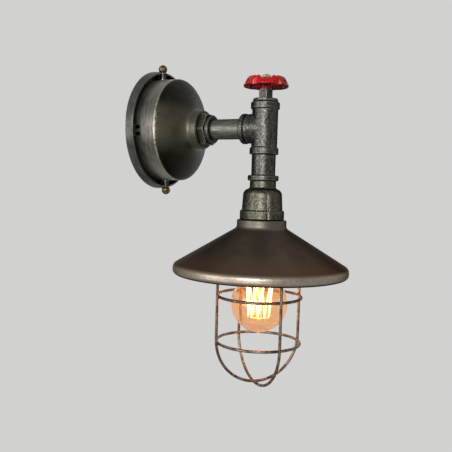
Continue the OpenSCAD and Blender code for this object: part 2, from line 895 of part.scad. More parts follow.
// One face of the shade's sheet, set in by a distance t
function shade_face(t) =
    let (s = shade_slope, neck_r = shade_neck_r - t, fillet = neck_turn + t, low = cone_angle(cone_run),
        rise = fillet * tan((90 - s) / 2), drop = t / cos(s) - t * tan(s),
        neck_z = shade_top - neck_h - drop, turn_z = cone_z(cone_run) - shade_turn_r / cos(low))
    concat(
        [[nipple_r + fit, shade_top - t]],
        arc(shade_neck_r - 1.6, shade_top - 1.6, 1.6 - t, 90, 0, 4),
        arc(neck_r + fillet, neck_z + rise, fillet, 180, 270 - s, 8),
        [for (i = [1 : 1 : cone_steps]) cone_point(cone_run * i / cone_steps, t)],
        arc(shade_r - shade_turn_r, turn_z, shade_turn_r - t, 90 - low, 0, 8),
        arc(shade_r - lip_turn, shade_bottom + lip_turn, lip_turn - t, 0, -90, 8));

module shade() {
    outer = shade_face(0);
    inner = shade_face(shade_wall);
    color([0.27, 0.25, 0.22])
        on_upright()
            rotate_extrude()
                polygon(concat(outer, [for (i = [len(inner) - 1 : -1 : 0]) inner[i]]));
}

// The lampholder: cap, insulator, threaded body, brass shell and centre contact
holder_bore = holder_r - holder_wall;
insulator_t = 7;
cap_wall = 2;
contact_t = 0.8;
rivet_r = 1.6;
shell_wall = 0.6;
shell_h = 16;
shell_r = cap_r + 0.3 + shell_wall;
lead_out = shell_r + 0.3;
holder_flange_r = holder_ring_r - 2;

module holder_cap() {
    color([0.12, 0.12, 0.12])
        on_upright()
            difference() {
                rotate_extrude()
                    polygon(concat(
                        [[0, holder_join], [holder_r, holder_join]],
                        arc(holder_r - 5, holder_top - 5, 5, 0, 90, 8),
                        [[0, holder_top]]));
                rotate_extrude()
                    polygon(concat(
                        [[0, holder_join - cut], [holder_r - cap_wall, holder_join - cut]],
                        arc(holder_r - 5, holder_top - 5, 5 - cap_wall, 0, 90, 8),
                        [[0, holder_top - cap_wall]]));
                tube(nipple_r + fit, 0, holder_top - 5, holder_top + cut);
            }
}

module holder_insulator() {
    roof = bulb_top + contact_t;
    color("ivory")
        on_upright()
            difference() {
                union() {
                    tube(holder_bore - fit, 0, holder_join, holder_join + insulator_t);
                    tube(holder_r - cap_wall - fit, 0, holder_join, holder_join + 3);
                }
                rotate_extrude()
                    polygon([[0, holder_join - cut], [cap_r - 0.8, holder_join - cut],
                        [cap_r - 0.8, holder_join + 0.6], [6.4, roof - 1.5], [5.4, roof], [0, roof]]);
                tube(rivet_r + fit, 0, roof - cut, holder_join + insulator_t + cut);
                for (x = [-lead_out, lead_out])
                    translate([x, 0, 0])
                        tube(lead_d / 2 + fit, 0, holder_join - cut, holder_join + insulator_t + cut);
            }
}

module holder_body() {
    thread_pitch = 2.5;
    turns = floor((guard_top - holder_bottom) / thread_pitch) - 1;
    color([0.12, 0.12, 0.12])
        on_upright()
            difference() {
                union() {
                    tube(holder_r, 0, holder_bottom, holder_join);
                    band(holder_flange_r, guard_top, guard_top + 2);
                }
                tube(holder_bore, 0, holder_bottom - cut, holder_join + cut);
                for (i = [1 : turns])
                    translate([0, 0, guard_low - i * thread_pitch])
                        rotate_extrude()
                            polygon([[holder_r - 0.8, 0], [holder_r + 1, 1], [holder_r + 1, -1]]);
            }
}

module holder_shell() {
    color("gold")
        on_upright() {
            tube(shell_r, shell_r - shell_wall, holder_join - shell_h, holder_join - fit);
            tube(holder_bore - fit, shell_r - fit, holder_join - shell_h + 1, holder_join - shell_h + 2);
        }
}

module holder_contact() {
    color("gold")
        on_upright() {
            tube(4.4, 0, bulb_top, bulb_top + contact_t);
            tube(rivet_r, 0, bulb_top + contact_t / 2, holder_join + insulator_t + 0.4);
        }
}

module holder_ring() {
    color([0.12, 0.12, 0.12])
        on_upright()
            difference() {
                band(holder_ring_r, guard_low - holder_ring_h, guard_low, 1);
                tube(holder_r + fit, 0, guard_low - holder_ring_h - cut, guard_low + cut);
            }
}

// The wire guard: a sheet collar, two crossed hoops and two rings
collar_brim = 8;
collar_out = holder_ring_r + collar_brim;
wire_r = wire_d / 2;
arm_z = guard_low - wire_r;
ring_high_r = guard_r - wire_d - fit;
ring_low_r = sqrt(pow(ring_high_r, 2) - pow(max(0, guard_curve_z - ring_low_z), 2));

module guard_collar() {
    color([0.2, 0.18, 0.15])
        on_upright()
            tube(collar_out, holder_r + fit, guard_low, guard_top);
}

// Half of a hoop: level arm, bend, upright and quarter circle, in the plane y = 0
module hoop_half(arm_height, curve_z, arm_start_r) {
    bend_x = guard_r - guard_bend;
    translate([arm_start_r, 0, arm_height])
        rotate([0, 90, 0])
            cylinder(r = wire_r, h = bend_x - arm_start_r, $fn = 32);
    translate([bend_x, 0, arm_height - guard_bend])
        rotate([90, 0, 0])
            rotate_extrude(angle = 90, $fn = 64)
                translate([guard_bend, 0])
                    circle(r = wire_r, $fn = 32);
    translate([guard_r, 0, curve_z])
        cylinder(r = wire_r, h = arm_height - guard_bend - curve_z, $fn = 32);
}

module guard_hoop(turn, arm_height, curve_z, arm_start_r) {
    color([0.24, 0.2, 0.16])
        on_upright()
            facing(turn + 90) {
                for (side = [0, 180])
                    rotate([0, 0, side])
                        hoop_half(arm_height, curve_z, arm_start_r);
                translate([0, 0, curve_z])
                    rotate([90, 0, 0])
                        rotate([0, 0, 180])
                            rotate_extrude(angle = 180, $fn = 96)
                                translate([guard_r, 0])
                                    circle(r = wire_r, $fn = 32);
            }
}

arm_inner = holder_ring_r + 0.6;

module guard_hoop_front() {
    guard_hoop(guard_turn, arm_z, guard_curve_z - wire_d - fit, arm_inner);
}

module guard_hoop_side() {
    guard_hoop(guard_turn + guard_cross, arm_z, guard_curve_z, arm_inner);
}

module guard_ring(r, z) {
    color([0.24, 0.2, 0.16])
        on_upright()
            translate([0, 0, z])
                rotate_extrude()
                    translate([r, 0])
                        circle(r = wire_r, $fn = 32);
}

module guard_ring_upper() {
    guard_ring(ring_high_r, ring_high_z);
}

module guard_ring_lower() {
    guard_ring(ring_low_r, ring_low_z);
}

// The bulb: globe with its pip, cap, insulator, contact, glass mount, hooks and filament
cap_h = 27;
cap_low = bulb_top - cap_h;
contact_h = 1.2;
insulator_h = 3.6;
thread_high = bulb_top - contact_h - insulator_h;
neck_taper = 2.5;
neck_straight = 5.4;
pip_r = 2.6;
pip_blend = 2;
cap_skin = 0.5;
cap_low_r = bulb_neck_r - 0.5;
glass_lap = 4;
cap_inner = cap_low_r - cap_skin;

// Half section of the globe's face, set in by t, from the neck down to the pip; the neck's
// curve has the radius that joins its straight part to the globe
function globe_face(t) =
    let (rise = cap_low - neck_taper - neck_straight - globe_z, step = globe_r - bulb_neck_r,
        turn = (rise * rise - globe_r * globe_r + bulb_neck_r * bulb_neck_r) / (2 * step),
        far = bulb_neck_r + turn, tip = atan2(rise, far))
    concat(
        [[cap_inner - fit - t, cap_low + glass_lap], [cap_inner - fit - t, cap_low],
            [bulb_neck_r - t, cap_low - neck_taper]],
        arc(far, globe_z + rise, turn + t, 180, 180 + tip, 10),
        arc(0, globe_z, globe_r - t, tip - 3, asin(pip_r / globe_r) - 90 + pip_blend, 30));

module bulb_glass() {
    outer = globe_face(0);
    inner = globe_face(glass_t);
    color([0.9, 0.75, 0.5, 0.35])
        on_upright()
            rotate_extrude()
                polygon(concat(
                    outer,
                    [[1.1, bulb_bottom + 0.6], [0, bulb_bottom]],
                    [[0, globe_z - globe_r + glass_t]],
                    [for (i = [len(inner) - 1 : -1 : 0]) inner[i]]));
}

module bulb_cap() {
    pitch = 3.6;
    turns = 4;
    steps = 8 * turns;
    thread_low = thread_high - pitch * turns;
    // the rolled thread, from its upper end down
    thread = [for (i = [0 : steps])
        [cap_r - 0.55 + 0.5 * cos(360 * i / 8 + 180), thread_high - 0.8 - i * pitch / 8]];
    outer = concat([[cap_r - 2.4, thread_high]], thread,
        [[cap_low_r, thread_low - 2.4], [cap_low_r, cap_low]]);
    color([0.75, 0.72, 0.65])
        on_upright()
            rotate_extrude()
                polygon(concat(outer,
                    [for (i = [len(outer) - 1 : -1 : 0])
                        [outer[i].x - cap_skin, outer[i].y - (i == 0 ? cap_skin : 0)]]));
}

module bulb_insulator() {
    top = bulb_top - contact_h;
    color([0.08, 0.08, 0.09])
        on_upright()
            difference() {
                rotate_extrude()
                    polygon([[0, thread_high - 0.6], [cap_r - 3, thread_high - 0.6],
                        [cap_r - 2.5, thread_high], [5.2, top], [0, top]]);
                tube(0.8, 0, thread_high - 1, top + cut);
            }
}

module bulb_contact() {
    color("silver")
        on_upright()
            band(4.8, bulb_top - contact_h, bulb_top, 0.4);
}

// The glass mount: a flare sealed in the neck, a stem and a rod down to the lower button
filament_top = globe_z + 20;
filament_low = filament_top - filament_h;
button_z = filament_low - 3.4;

module bulb_mount() {
    flare_z = cap_low + 1.4;
    flare_r = cap_inner - glass_t - 2 * fit;
    color([0.85, 0.85, 0.82, 0.6])
        on_upright()
            rotate_extrude()
                polygon([[0, flare_z], [flare_r, flare_z], [flare_r, flare_z - 0.8], [5, flare_z - 3],
                    [3.4, flare_z - 7], [3.2, filament_top + 8], [1.6, filament_top + 4],
                    [1.6, filament_top + 1.8], [2.6, filament_top + 1], [1.6, filament_top],
                    [1.2, filament_top - 2], [1.2, button_z + 2], [2.2, button_z], [0, button_z - 1.4]]);
}

// Filament corners: fold i hangs from upper hook i down to lower hook i and up to the next one
fold = 360 / (filament_folds + 1);
low_r_filament = filament_r - 2.2;

function upper_hook(i) = [filament_r * cos(i * fold), filament_r * sin(i * fold), filament_top];
function lower_hook(i) =
    [low_r_filament * cos((i + 0.5) * fold), low_r_filament * sin((i + 0.5) * fold), filament_low];

hook_d = 0.5;
hook_root = 1.4;
hook_gap = filament_d * corner_ball / 2 + hook_d / 2 + fit;

module filament_hooks() {
    color([0.5, 0.5, 0.52])
        on_upright() {
            for (i = [0 : filament_folds]) {
                root = upper_hook(i) * (hook_root / filament_r);
                start = [root.x, root.y, filament_top + 1.4];
                wire([start, upper_hook(i) + [0, 0, hook_gap]], hook_d);
            }
            for (i = [0 : filament_folds - 1]) {
                root = lower_hook(i) * (hook_root / low_r_filament);
                start = [root.x, root.y, button_z + 0.6];
                wire([start, lower_hook(i) - [0, 0, hook_gap]], hook_d);
            }
        }
}

module filament() {
    color([1, 0.8, 0.4])
        on_upright()
            wire([for (i = [0 : 2 * filament_folds])
                i % 2 == 0 ? upper_hook(i / 2) : lower_hook((i - 1) / 2)], filament_d);
}

// The internal wires, from the terminal block through the arm and down to the lampholder
lead_bend = 7;
lead_side = 4;
lead_in = 1.6;
lead_y = -way_z;
lug_turn = 220;
lug_len = 9.4;
lug_w = 3.2;

// Quarter bend in the plane of the arm, from the first direction to the second
function bend(x, y, z, r, a, b) = [for (p = arc(y, z, r, a, b, 6)) [x, p.x, p.y]];

function lead_route(side) =
    let (mouth_y = -arm_start + 4)
    concat(
        [[side * terminal_pitch, lead_y, wire_end], [side * terminal_pitch, lead_y, -9]],
        [[side * (lead_side + 3), lead_y - 2, -5], [side * (lead_side + 1), lead_y - 7, -1.4]],
        [[side * lead_side, lead_y - 12, 0], [side * lead_side, mouth_y, 0]],
        bend(side * lead_side, -reach + lead_bend, -lead_bend, lead_bend, 90, 180),
        [[side * lead_side, -reach, bell_top + 2], [side * lead_in, -reach, nipple_high + 4]],
        [[side * lead_in, -reach, nipple_low - 0.5]],
        [[side * 3.6, -reach, nipple_low - 2.1], [side * 8, -reach, nipple_low - 2.7]],
        [[side * (lead_out - 1.6), -reach, nipple_low - 3.2], [side * lead_out, -reach, nipple_low - 4.8]],
        [[side * lead_out, -reach, holder_join + 1]]);

module live_wire() {
    color([0.45, 0.25, 0.12])
        lead(lead_route(-1), lead_d);
}

module neutral_wire() {
    color([0.15, 0.3, 0.7])
        lead(lead_route(1), lead_d);
}

module earth_wire() {
    seat = plate_wall + boss_h;
    lug_y = -seat - eyelet_t - lead_d / 2;
    along = [cos(lug_turn), 0, sin(lug_turn)];
    screw = [boss_x, lug_y, boss_y];
    color([0.3, 0.6, 0.2]) {
        lead([[0, lead_y, wire_end], [0, lead_y, -9], [1.5, lead_y, -5], [5, lead_y, 2],
            [10.5, lead_y + 0.4, 9.5], screw + along * lug_len, screw + along * (eyelet_r + 1)],
            lead_d);
        from_wall()
            translate([boss_x, boss_y, seat])
                difference() {
                    union() {
                        cylinder(r = eyelet_r, h = eyelet_t);
                        rotate([0, 0, lug_turn])
                            translate([0, -lug_w / 2, 0])
                                cube([lug_len, lug_w, eyelet_t]);
                    }
                    translate([0, 0, -cut])
                        cylinder(r = earth_screw_r + fit, h = eyelet_t + 2 * cut);
                }
    }
}

back_plate();
terminal_block();
terminal_screws();
earth_screw();
canopy_cover();
stud_brackets();
canopy_studs();
ball_nuts();
neck_washer();
arm_nut();
arm_collar();
inner_locknut();
arm_pipe();
tee();
top_plug();
gland_nut();
stem();
stem_clip();
handwheel();
wheel_nut();
extension_socket();
reducer();
reducer_plug();
nipple();
nipple_nut();
shade();
holder_cap();
holder_insulator();
holder_body();
holder_shell();
holder_contact();
holder_ring();
guard_collar();
guard_hoop_front();
guard_hoop_side();
guard_ring_upper();
guard_ring_lower();
bulb_glass();
bulb_cap();
bulb_insulator();
bulb_contact();
bulb_mount();
filament_hooks();
filament();
live_wire();
neutral_wire();
earth_wire();
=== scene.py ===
import json
import math

import bpy
from mathutils import Matrix, Vector, noise


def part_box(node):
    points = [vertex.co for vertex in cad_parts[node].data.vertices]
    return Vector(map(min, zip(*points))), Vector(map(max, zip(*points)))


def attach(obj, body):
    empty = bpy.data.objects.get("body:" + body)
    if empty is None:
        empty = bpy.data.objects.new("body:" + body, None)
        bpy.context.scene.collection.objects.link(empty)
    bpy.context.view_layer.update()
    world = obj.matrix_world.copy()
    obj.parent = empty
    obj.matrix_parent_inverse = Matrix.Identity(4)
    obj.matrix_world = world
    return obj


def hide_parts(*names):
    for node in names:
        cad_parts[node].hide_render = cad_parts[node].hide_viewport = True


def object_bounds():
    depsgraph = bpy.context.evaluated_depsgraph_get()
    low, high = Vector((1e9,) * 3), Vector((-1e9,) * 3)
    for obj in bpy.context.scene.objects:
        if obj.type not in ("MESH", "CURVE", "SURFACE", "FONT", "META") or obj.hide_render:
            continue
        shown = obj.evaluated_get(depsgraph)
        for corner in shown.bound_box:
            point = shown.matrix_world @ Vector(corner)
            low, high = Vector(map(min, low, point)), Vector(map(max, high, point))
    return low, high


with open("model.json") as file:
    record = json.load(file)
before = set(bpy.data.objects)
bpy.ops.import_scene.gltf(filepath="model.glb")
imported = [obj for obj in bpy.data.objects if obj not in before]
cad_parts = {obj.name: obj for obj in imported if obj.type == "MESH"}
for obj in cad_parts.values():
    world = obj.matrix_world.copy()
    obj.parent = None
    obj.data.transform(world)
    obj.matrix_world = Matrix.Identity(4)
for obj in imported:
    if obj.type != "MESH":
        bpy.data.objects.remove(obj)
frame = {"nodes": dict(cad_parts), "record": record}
cad_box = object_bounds()
nodes = frame["nodes"]

MM = 0.001

# The camera, solved from the photograph's ellipses: angles in degrees, focal length in pixels
PHOTO_SIZE = 452
SENSOR = 36.0
VIEW_AZIMUTH = -63.21
VIEW_ELEVATION = 3.44
VIEW_ROLL = 1.65
VIEW_FOCAL = 613.1
VIEW_PLACE = Vector((-580.9, -380.2, -62.9)) * MM
CLIP_NEAR = 0.01
CLIP_FAR = 50

# The studio: a pale floor well below the light, and pale surroundings that light it softly
FLOOR_Z = -0.95
FLOOR_HALF_SIDE = 4.0
FLOOR_PAINT = (0.6, 0.6, 0.59, 1.0)
FLOOR_CLOUD = 300
# Between these distances, in metres, the floor takes on the surroundings' colour, from this share
# up to all of it
FADE_FROM = 0.1
FADE_TO = 1.2
FADE_SHARE = 0.55
PALE = (0.64, 0.64, 0.63, 1.0)
SOFT_LIGHT = 0.25
SEEN_LIGHT = 1.0

# The lamps: name, direction along the camera's right, up and back, distance and size in metres,
# and power in watts
LAMPS = [
    ("key", (-0.24, 0.14, 1.0), 1.3, 0.7, 15),
    ("side", (-0.8, 0.1, 0.5), 1.4, 0.9, 9),
    ("fill", (0.9, 0.2, -0.3), 1.5, 0.9, 0.5),
    ("rim", (-0.4, 0.4, -0.9), 1.3, 0.7, 1.0),
]
GLOW_POWER = 0.8
GLOW_COLOUR = (1.0, 0.55, 0.22)
GLOW_RADIUS = 0.012

# Most of a noise texture's values lie between these two
NOISE_LOW = 0.3
NOISE_HIGH = 0.7
# Rays that a rounded edge or a crevice is felt out with
PROBES = 6
# The places of the mix node's two numbers, its two colours and the colour that comes out
MIX_NUMBERS = (2, 3)
MIX_COLOURS = (6, 7)
MIXED_COLOUR = 2

# A casting's skin: the sizes of its wide and its narrow hollows
WIDE_HOLLOW = 2.6 * MM
NARROW_HOLLOW = 0.9 * MM

# The upright axis of the lamp, taken from the frame
lamp_axis_y = (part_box("reducer")[0].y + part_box("reducer")[1].y) / 2


def widest_part(name, along):
    """From where to where, along Y or Z, a round node has its greatest radius."""
    tolerance = 0.05 * MM
    points = [vertex.co for vertex in nodes[name].data.vertices]
    if along == "Z":
        reach = [(math.hypot(p.x, p.y - lamp_axis_y), p.z) for p in points]
    else:
        reach = [(math.hypot(p.x, p.z), p.y) for p in points]
    widest = max(radius for radius, place in reach)
    places = [place for radius, place in reach if radius > widest - tolerance]
    return min(places), max(places)


def view_axes():
    """The camera's right, up and back directions in the row frame."""
    a = math.radians(VIEW_AZIMUTH)
    e = math.radians(VIEW_ELEVATION)
    r = math.radians(VIEW_ROLL)
    back = Vector((math.sin(a) * math.cos(e), -math.cos(a) * math.cos(e), math.sin(e)))
    level = Vector((0, 0, 1)).cross(back).normalized()
    rise = back.cross(level)
    right = math.cos(r) * level + math.sin(r) * rise
    up = -math.sin(r) * level + math.cos(r) * rise
    return right, up, back


def link(item):
    bpy.context.scene.collection.objects.link(item)
    return item


def make_camera():
    right, up, back = view_axes()
    lens = bpy.data.cameras.new("camera")
    lens.sensor_width = SENSOR
    lens.lens = VIEW_FOCAL * SENSOR / PHOTO_SIZE
    lens.clip_start = CLIP_NEAR
    lens.clip_end = CLIP_FAR
    camera = link(bpy.data.objects.new("camera", lens))
    turn = Matrix((right, up, back)).transposed().to_4x4()
    camera.matrix_world = Matrix.Translation(VIEW_PLACE) @ turn
    bpy.context.scene.camera = camera


def srgb(red, green, blue):
    """A colour given in screen values from 0 to 255, as the linear one that shaders take."""
    def linear(value):
        share = value / 255
        return share / 12.92 if share <= 0.04045 else ((share + 0.055) / 1.055) ** 2.4
    return (linear(red), linear(green), linear(blue), 1.0)


class Graph:
    """The nodes of one material or of the world; sizes are in mm of the real object."""

    def __init__(self, name, world=False):
        self.owner = bpy.data.worlds.new(name) if world else bpy.data.materials.new(name)
        self.owner.use_nodes = True
        self.tree = self.owner.node_tree
        self.tree.nodes.clear()
        self.output = self.add("ShaderNodeOutputWorld" if world else "ShaderNodeOutputMaterial")
        self.place = self.add("ShaderNodeTexCoord").outputs["Object"]

    def add(self, kind, inputs=None, **settings):
        node = self.tree.nodes.new(kind)
        for key, value in settings.items():
            setattr(node, key, value)
        for key, value in (inputs or {}).items():
            self.feed(node.inputs[key], value)
        return node

    def feed(self, socket, value):
        if isinstance(value, bpy.types.NodeSocket):
            self.tree.links.new(value, socket)
        else:
            socket.default_value = value

    def show(self, shader):
        """Makes a shader the one that is seen, and gives back the material or the world."""
        self.feed(self.output.inputs["Surface"], shader.outputs[0])
        return self.owner

    def calc(self, operation, first, second=0.0, clamp=False):
        node = self.add("ShaderNodeMath", {0: first, 1: second}, operation=operation,
                        use_clamp=clamp)
        return node.outputs[0]

    def mix(self, share, first, second):
        """A mix of two colours."""
        inputs = {0: share, MIX_COLOURS[0]: first, MIX_COLOURS[1]: second}
        node = self.add("ShaderNodeMix", inputs, data_type="RGBA", clamp_factor=True)
        return node.outputs[MIXED_COLOUR]

    def mix_value(self, share, first, second):
        """A mix of two numbers."""
        inputs = {0: share, MIX_NUMBERS[0]: first, MIX_NUMBERS[1]: second}
        node = self.add("ShaderNodeMix", inputs, data_type="FLOAT", clamp_factor=True)
        return node.outputs[0]

    def mix_shaders(self, share, first, second):
        inputs = {0: share, 1: first.outputs[0], 2: second.outputs[0]}
        return self.add("ShaderNodeMixShader", inputs)

    def remap(self, value, low, high, to_low=0.0, to_high=1.0):
        """The value, carried softly from one range to another and held at its ends."""
        node = self.add("ShaderNodeMapRange", {
            "Value": value, "From Min": low, "From Max": high, "To Min": to_low, "To Max": to_high,
        }, interpolation_type="SMOOTHSTEP")
        return node.outputs["Result"]

    def spread(self, value, to_low=0.0, to_high=1.0):
        """A noise, spread from its usual range to another."""
        return self.remap(value, NOISE_LOW, NOISE_HIGH, to_low, to_high)

    def stretched(self, stretch):
        """Object coordinates, drawn out by a factor along each axis."""
        scale = tuple(1 / s for s in stretch)
        return self.add("ShaderNodeMapping", {"Vector": self.place, "Scale": scale}).outputs[0]

    def noise(self, size, detail=4.0, rough=0.55, stretch=None):
        """Soft noise with features of about the given size."""
        node = self.add("ShaderNodeTexNoise", {
            "Vector": self.stretched(stretch) if stretch else self.place,
            "Scale": 1 / (size * MM), "Detail": detail, "Roughness": rough,
        })
        return node.outputs["Fac"]

    def specks(self, size, amount, soft=0.06):
        """A mask of scattered specks; amount is about the share that they cover."""
        middle, width = 0.5, 0.34
        level = middle + (0.5 - amount) * width
        return self.remap(self.noise(size, 3.0, 0.6), level, level + soft)

    def axis(self, name):
        """The place along one of the object's axes, in metres."""
        return self.add("ShaderNodeSeparateXYZ", {0: self.place}).outputs[name]

    def spot(self, centre, reach, fade):
        """1 within reach of a point, falling to 0 over fade."""
        point = tuple(c * MM for c in centre)
        away = self.add("ShaderNodeVectorMath", {0: self.place, 1: point}, operation="DISTANCE")
        return self.remap(away.outputs["Value"], reach * MM, (reach + fade) * MM, 1.0, 0.0)

    def near(self, value, target, reach, fade):
        """1 where the value is within reach of the target, falling to 0 over fade."""
        away = self.calc("ABSOLUTE", self.calc("SUBTRACT", value, target * MM))
        return self.remap(away, reach * MM, (reach + fade) * MM, 1.0, 0.0)

    def both(self, first, second):
        """The product of two masks."""
        return self.calc("MULTIPLY", first, second)

    def edges(self, radius, gain):
        """A mask of the piece's sharp edges."""
        bevel = self.add("ShaderNodeBevel", {"Radius": radius * MM}, samples=PROBES).outputs[0]
        normal = self.add("ShaderNodeNewGeometry").outputs["Normal"]
        along = self.add("ShaderNodeVectorMath", {0: bevel, 1: normal}, operation="DOT_PRODUCT")
        turned = self.calc("SUBTRACT", 1.0, along.outputs["Value"])
        return self.calc("MULTIPLY", turned, gain, clamp=True)

    def open_sky(self, reach, low, high):
        """1 on open surfaces, 0 in crevices; reach is how far a neighbour counts."""
        node = self.add("ShaderNodeAmbientOcclusion", {"Distance": reach * MM}, samples=PROBES)
        return self.remap(node.outputs["AO"], low, high)

    def underside(self):
        """1 on surfaces that look down, by the upright share of their normal."""
        slanting, downward = -0.35, -0.75
        normal = self.add("ShaderNodeNewGeometry").outputs["Normal"]
        upright = self.add("ShaderNodeSeparateXYZ", {0: normal}).outputs["Z"]
        return self.remap(upright, slanting, downward)

    def bump(self, height, depth, normal=None):
        inputs = {"Height": height, "Distance": depth * MM}
        if normal is not None:
            inputs["Normal"] = normal
        return self.add("ShaderNodeBump", inputs).outputs[0]

    def finish(self, colour, rough, metallic, normal, **more):
        """The material with these main values, and with more inputs of its shader by name."""
        inputs = {"Base Color": colour, "Roughness": rough, "Metallic": metallic, "Normal": normal}
        inputs.update(more)
        return self.show(self.add("ShaderNodeBsdfPrincipled", inputs))


# Painted shade for the corners and crevices of the sheet metal
CORNER_SHADE = srgb(9, 8, 7)
# A dull metal gives back less at a grazing look, and an oiled one has little gloss of its own
GRAZING = {"Specular Tint": srgb(112, 112, 110)}
OILED = {"Specular IOR Level": 0.35}


def plate_steel():
    """The wall plate: satin steel with a faint cloud, bright edges and painted shade darkening its
    dish.
    """
    g = Graph("plate_steel")
    dark, pale = srgb(60, 61, 57), srgb(82, 83, 78)
    rubbed = srgb(176, 176, 168)
    colour = g.mix(g.remap(g.noise(14, 5, 0.6), 0.35, 0.7), dark, pale)
    colour = g.mix(g.both(g.edges(0.9, 7), 0.8), colour, rubbed)
    # Painted shade in the plate's dish and crevices
    colour = g.mix(g.open_sky(12, 0.4, 0.6), CORNER_SHADE, colour)
    rough = g.spread(g.noise(5), 0.4, 0.54)
    return g.finish(colour, rough, 0.9, g.bump(g.noise(0.6, 2), 0.03))


def canopy_metal():
    """The cover: brushed grey side with painted light at its top and bottom, a bright edge of wear
    and painted highlight, a dark oiled bell with a painted sheen, painted shade in its crevices
    and a paler neck.
    """
    g = Graph("canopy_metal")
    side_dark, side_pale = srgb(72, 71, 66), srgb(112, 110, 102)
    side_stain, side_painted_light = srgb(54, 49, 42), srgb(150, 147, 137)
    bell_dark, bell_pale = srgb(28, 25, 20), srgb(38, 34, 27)
    bell_painted_sheen, neck_grey = srgb(96, 92, 76), srgb(92, 90, 80)
    edge_wear_and_highlight, edge_flaw = srgb(168, 165, 152), srgb(12, 10, 8)
    edge = widest_part("canopy_cover", "Y")[0]
    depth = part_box("canopy_cover")[0].y - edge
    neck_start, neck_full = edge + 0.6 * depth, edge + 0.76 * depth
    bell_start, bell_full = edge + 0.2 * MM, edge - 0.8 * MM
    flaw_line = edge / MM - 2.2
    y = g.axis("Y")
    level = g.calc("ABSOLUTE", g.axis("Z"))
    brushed = g.noise(1.4, 5, 0.65, stretch=(14, 1, 14))
    blotch = g.noise(16, 3, 0.5)
    side = g.mix(g.remap(brushed, 0.3, 0.72), side_dark, side_pale)
    side = g.mix(g.both(g.remap(blotch, 0.45, 0.7), 0.6), side, side_stain)
    # Painted light: the side is lighter towards its top and bottom
    side = g.mix(g.both(g.remap(level, 20 * MM, 52 * MM), 0.7), side, side_painted_light)
    bell = g.mix(g.remap(blotch, 0.35, 0.7), bell_dark, bell_pale)
    # Painted sheen: a lighter olive area across the bell's middle height
    painted_sheen_mask = g.both(g.remap(level, 6 * MM, 32 * MM, 0.9, 0.0),
                   g.remap(blotch, 0.3, 0.6, 0.75, 1.0))
    bell = g.mix(painted_sheen_mask, bell, bell_painted_sheen)
    colour = g.mix(g.remap(y, bell_start, bell_full), side, bell)
    colour = g.mix(g.both(g.remap(y, neck_start, neck_full), 0.8), colour, neck_grey)
    # Bright front edge: partly wear, partly a painted highlight that is strongest at mid-height
    strong = g.remap(level, 14 * MM, 46 * MM, 1.0, 0.25)
    worn = g.both(g.near(y, edge / MM, 0.3, 1.1),
                  g.remap(g.noise(4, 5, 0.75), 0.36, 0.6, 0.1, 1.0))
    colour = g.mix(g.both(worn, strong), colour, edge_wear_and_highlight)
    flaw = g.both(g.near(y, flaw_line, 0.7, 0.9), g.specks(1.8, 0.34))
    colour = g.mix(g.both(flaw, strong), colour, edge_flaw)
    # Painted shade in the crevices
    colour = g.mix(g.open_sky(4, 0.4, 0.8), CORNER_SHADE, colour)
    rough = g.spread(g.noise(3), 0.4, 0.5)
    return g.finish(colour, rough, 0.92, g.bump(brushed, 0.02), **OILED)


def shade_metal():
    """The shade: satin gunmetal brown with a painted warm glow low on the cone, paler at the neck,
    worn and given a painted highlight along the turned lip, with painted shade under the lip.
    """
    g = Graph("shade_metal")
    cone_dark, cone_pale = srgb(80, 70, 61), srgb(91, 81, 71)
    cone_painted_glow, cone_speck = srgb(104, 77, 60), srgb(96, 88, 77)
    neck_grey, under_lip_shade = srgb(98, 95, 86), srgb(22, 18, 15)
    lip_wear_and_highlight, lip_speck = srgb(160, 148, 134), srgb(62, 56, 48)
    skirt_low, skirt_high = widest_part("shade", "Z")
    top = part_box("shade")[1].z
    neck_start, neck_full = top - 14 * MM, top - 5 * MM
    under_lip_start, under_lip_full = skirt_low - 2.2 * MM, skirt_low - 3.4 * MM
    lip_line = (skirt_low + skirt_high) / 2 / MM
    painted_glow_line = skirt_high / MM + 8
    z = g.axis("Z")
    colour = g.mix(g.spread(g.noise(22, 4, 0.55)), cone_dark, cone_pale)
    # Painted glow: a warm band low on the cone for the bulb's light reflected there
    colour = g.mix(g.both(g.near(z, painted_glow_line, 3, 10), 0.5), colour, cone_painted_glow)
    colour = g.mix(g.both(g.specks(0.6, 0.15), 0.6), colour, cone_speck)
    colour = g.mix(g.both(g.remap(z, neck_start, neck_full), 0.7), colour, neck_grey)
    # The turned lip: partly wear, partly a painted highlight
    lip = g.near(z, lip_line, 1.8, 4.0)
    lip = g.both(lip, g.remap(g.noise(3.4, 4, 0.6), 0.25, 0.6, 0.6, 1.0))
    colour = g.mix(g.both(lip, 0.9), colour, lip_wear_and_highlight)
    colour = g.mix(g.both(lip, g.specks(0.9, 0.2)), colour, lip_speck)
    # Painted shade under the turned lip
    colour = g.mix(g.remap(z, under_lip_start, under_lip_full), colour, under_lip_shade)
    rough = g.mix_value(lip, g.spread(g.noise(4), 0.4, 0.46), 0.34)
    return g.finish(colour, rough, 0.92, g.bump(g.noise(0.45, 2), 0.02), **OILED, **GRAZING)


